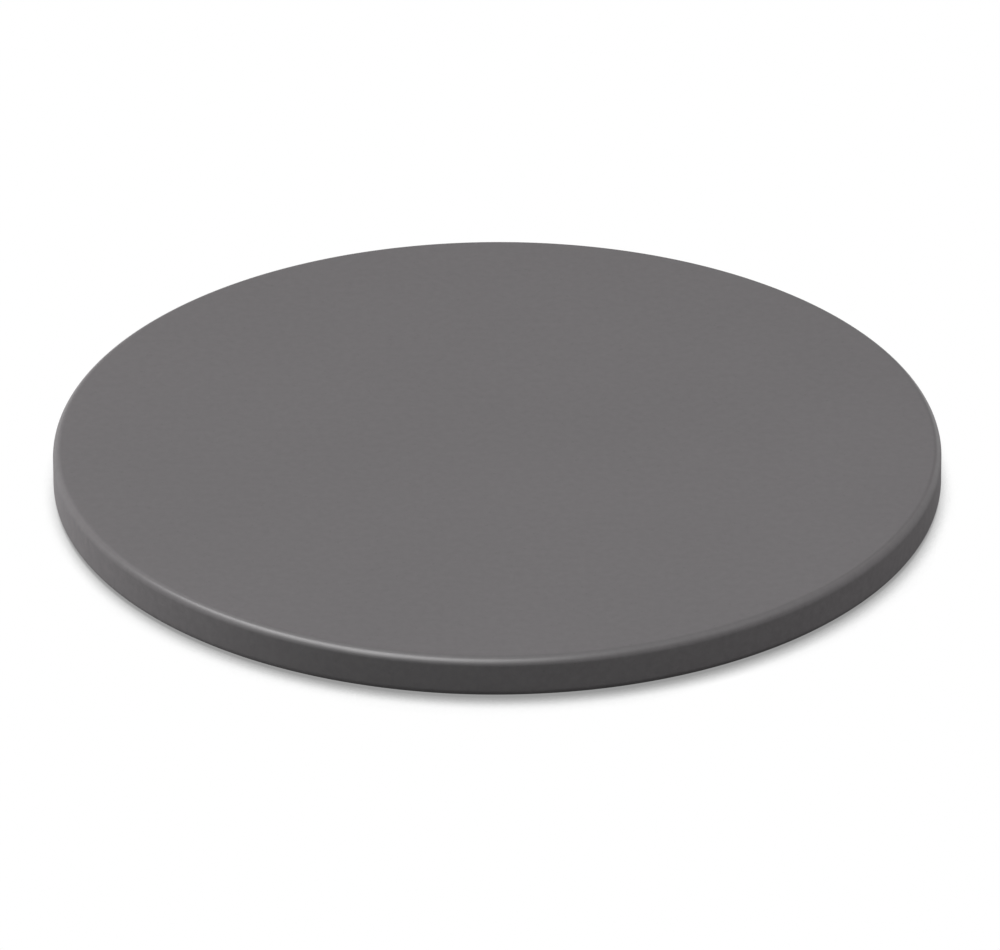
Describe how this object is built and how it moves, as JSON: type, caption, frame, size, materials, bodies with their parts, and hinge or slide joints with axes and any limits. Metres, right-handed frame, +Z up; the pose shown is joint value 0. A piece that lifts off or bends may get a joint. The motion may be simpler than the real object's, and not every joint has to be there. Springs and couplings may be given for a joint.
{
  "type": "pizza stone",
  "caption": "Round flat baking stone with softly rounded edges, glazed dark grey over its top and wall, bare on its underside.",
  "frame": {"origin": "centre of the underside, on the surface that the stone rests on", "axes": "+Z up along the stone's axis, through the baking face; X and Y lie in the underside and are alike, as the stone is round"},
  "size_m": [0.3599, 0.36, 0.0175],
  "materials": {
    "fired_body": "bare fired cordierite, tan, matt and fine-grained",
    "glaze": "charcoal grey satin glaze"
  },
  "bodies": {
    "root": {"stone_body": "fired_body", "glaze_coat": "glaze"}
  },
  "joints": []
}
